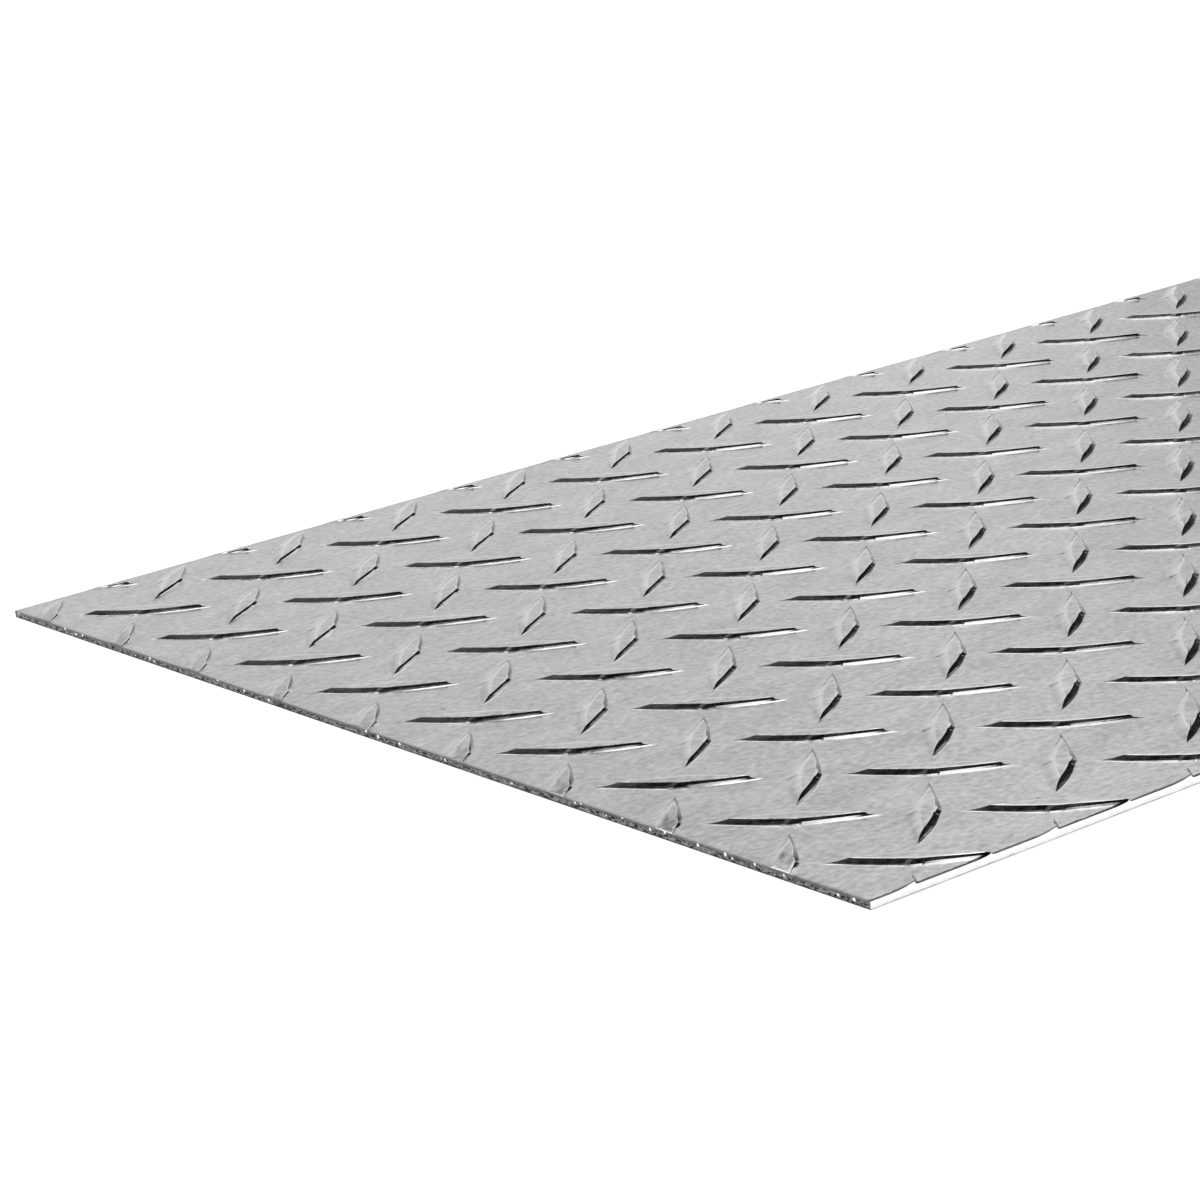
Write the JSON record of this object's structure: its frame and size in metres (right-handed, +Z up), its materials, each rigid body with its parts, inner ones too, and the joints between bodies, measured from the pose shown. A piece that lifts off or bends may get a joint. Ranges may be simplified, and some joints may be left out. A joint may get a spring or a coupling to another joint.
{
  "type": "checker steel plate",
  "caption": "Flat rectangular floor plate rolled in one piece, with raised diamond lugs in two crossing directions on its top face, sheared edges and a plain underside.",
  "frame": {"origin": "middle of the plain underside, on the surface that the plate lies on", "axes": "+X along the plate's length, which is the rolling direction; +Y across its width; +Z up, out of the lugged face"},
  "size_m": [0.6096, 0.3048, 0.0024],
  "materials": {
    "steel": "satin mill finish with faint rolling lines, bare sheared edges"
  },
  "bodies": {
    "root": {"tread_plate": "steel"}
  },
  "joints": []
}
